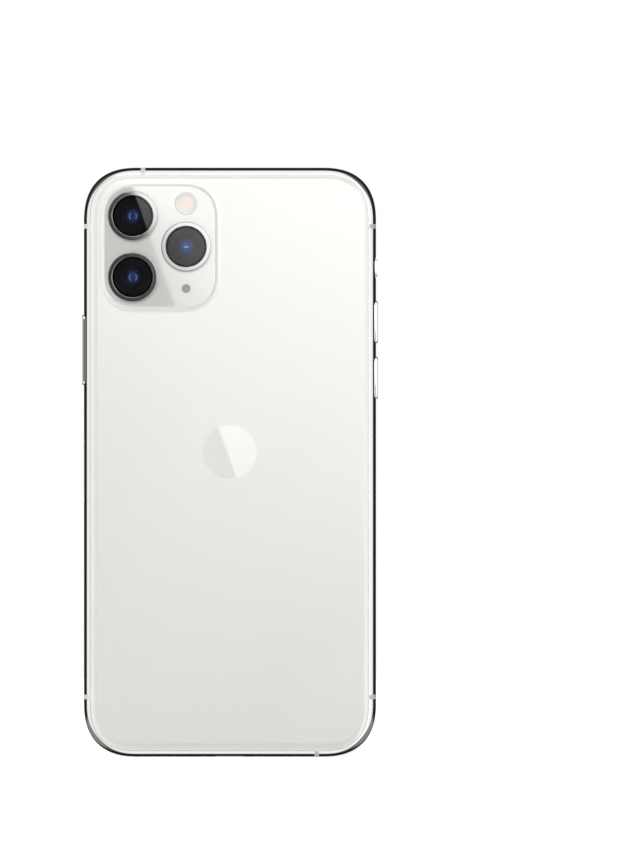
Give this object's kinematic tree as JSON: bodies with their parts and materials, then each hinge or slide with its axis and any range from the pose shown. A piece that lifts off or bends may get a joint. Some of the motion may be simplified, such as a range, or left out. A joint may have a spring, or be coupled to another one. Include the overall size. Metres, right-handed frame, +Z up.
{
  "type": "smartphone",
  "caption": "Slim smartphone with a polished steel band, frosted white rear glass, raised square panel with three round lenses, and a glass front with slim borders.",
  "frame": {"origin": "middle of the charging port's mouth, on the bottom edge, in the body's middle plane", "axes": "+Z up along the phone's height, +Y out of the rear glass, -Y out of the screen, +X across towards the side with the side button and SIM tray"},
  "size_m": [0.0722, 0.0099, 0.144],
  "materials": {
    "polished_steel": "polished stainless steel",
    "break_plastic": "moulded, flush with the steel",
    "rear_glass": "frosted white glass with a glossy camera panel",
    "screen_glass": "glossy glass over a dark display",
    "gasket": "thin sealing gasket",
    "gasket_light": "thin sealing gasket",
    "display_layers": "display film",
    "sheet_steel": "stamped sheet",
    "lens_steel": "turned and polished ring",
    "lens_glass": "coated lens cover",
    "flash_window": "clear window over a warm diffuser",
    "flash_led": "light emitting diodes",
    "mesh": "woven mesh",
    "black_moulding": "moulded housing",
    "small_steel": "plain steel",
    "gold_contact": "gold-plated contacts",
    "flex": "flexible circuit film",
    "circuit_board": "circuit board",
    "battery_wrap": "laminated pouch",
    "pull_tab": "stretch adhesive",
    "copper_coil": "wound copper on a ferrite sheet",
    "card_plastic": "plain card"
  },
  "bodies": {
    "chassis": {"cover_glass": "screen_glass", "display_gasket": "gasket", "display_panel": "display_layers", "display_backplate": "sheet_steel", "rear_glass": "rear_glass", "rear_gasket": "gasket_light", "back_plate": "sheet_steel", "band_right": "polished_steel", "band_left": "polished_steel", "band_top": "polished_steel", "band_top_corner": "polished_steel", "band_bottom": "polished_steel", "band_bottom_corner": "polished_steel", "antenna_breaks": "break_plastic", "tele_lens_ring": "lens_steel", "wide_lens_ring": "lens_steel", "ultrawide_lens_ring": "lens_steel", "lens_covers": "lens_glass", "flash_lens": "flash_window", "flash_led": "flash_led", "rear_mic_mesh": "mesh", "button_switches": "flex", "sim_reader": "sheet_steel", "port_shell": "sheet_steel", "port_contacts": "gold_contact", "bottom_screws": "small_steel", "bottom_mesh": "mesh", "loudspeaker": "black_moulding", "haptic_case": "sheet_steel", "battery": "battery_wrap", "battery_tabs": "pull_tab", "logic_board": "circuit_board", "board_interposer": "circuit_board", "upper_board": "circuit_board", "board_chips": "black_moulding", "board_shield": "sheet_steel", "camera_bracket": "sheet_steel", "tele_camera": "black_moulding", "wide_camera": "black_moulding", "ultrawide_camera": "black_moulding", "front_camera": "black_moulding", "face_sensors": "black_moulding", "earpiece_speaker": "black_moulding", "earpiece_mesh": "mesh", "wireless_coil": "copper_coil", "flex_cables": "flex", "inner_screws": "small_steel"},
    "side_button": {"side_button": "polished_steel"},
    "volume_up": {"volume_up_button": "polished_steel"},
    "volume_down": {"volume_down_button": "polished_steel"},
    "ring_switch": {"ring_switch": "polished_steel"},
    "sim_tray": {"sim_tray": "polished_steel", "sim_card": "card_plastic"},
    "eject_plunger": {"eject_plunger": "small_steel"},
    "eject_lever": {"eject_lever": "small_steel"},
    "haptic_mass": {"haptic_mass": "small_steel"},
    "tele_lens": {"tele_lens_barrel": "black_moulding"},
    "wide_lens": {"wide_lens_barrel": "black_moulding"},
    "speaker_diaphragm": {"speaker_diaphragm": "black_moulding"},
    "earpiece_diaphragm": {"earpiece_diaphragm": "black_moulding"}
  },
  "joints": [
    {"name": "side_button_press", "type": "slide", "parent": "chassis", "child": "side_button", "axis": [-1, 0, 0], "range_m": [0, 0.00025], "stiffness_N_per_m": 2000},
    {"name": "volume_up_press", "type": "slide", "parent": "chassis", "child": "volume_up", "axis": [1, 0, 0], "range_m": [0, 0.00025], "stiffness_N_per_m": 2000},
    {"name": "volume_down_press", "type": "slide", "parent": "chassis", "child": "volume_down", "axis": [1, 0, 0], "range_m": [0, 0.00025], "stiffness_N_per_m": 2000},
    {"name": "ring_switch_slide", "type": "slide", "parent": "chassis", "child": "ring_switch", "axis": [0, 1, 0], "range_m": [0, 0.0012]},
    {"name": "sim_tray_slide", "type": "slide", "parent": "chassis", "child": "sim_tray", "axis": [1, 0, 0], "range_m": [0, 0.016]},
    {"name": "eject_plunger_slide", "type": "slide", "parent": "chassis", "child": "eject_plunger", "axis": [-1, 0, 0], "range_m": [0, 0.0012], "stiffness_N_per_m": 200},
    {"name": "eject_lever_turn", "type": "hinge", "parent": "chassis", "child": "eject_lever", "pos_m": [0.018, 0, 0.069], "axis": [0, 1, 0], "range_deg": [0, 14]},
    {"name": "haptic_slide", "type": "slide", "parent": "chassis", "child": "haptic_mass", "axis": [1, 0, 0], "range_m": [-0.0004, 0.0004], "stiffness_N_per_m": 1000},
    {"name": "tele_focus", "type": "slide", "parent": "chassis", "child": "tele_lens", "axis": [0, 1, 0], "range_m": [0, 0.0003], "stiffness_N_per_m": 400},
    {"name": "wide_focus", "type": "slide", "parent": "chassis", "child": "wide_lens", "axis": [0, 1, 0], "range_m": [0, 0.0003], "stiffness_N_per_m": 400},
    {"name": "speaker_travel", "type": "slide", "parent": "chassis", "child": "speaker_diaphragm", "axis": [0, 1, 0], "range_m": [-0.0003, 0.0003], "stiffness_N_per_m": 500},
    {"name": "earpiece_travel", "type": "slide", "parent": "chassis", "child": "earpiece_diaphragm", "axis": [0, 1, 0], "range_m": [-0.0002, 0.0002], "stiffness_N_per_m": 300}
  ],
  "couplings": [
    {"joint": "eject_lever_turn", "follows": "eject_plunger_slide", "rad_per_m": 200}
  ]
}
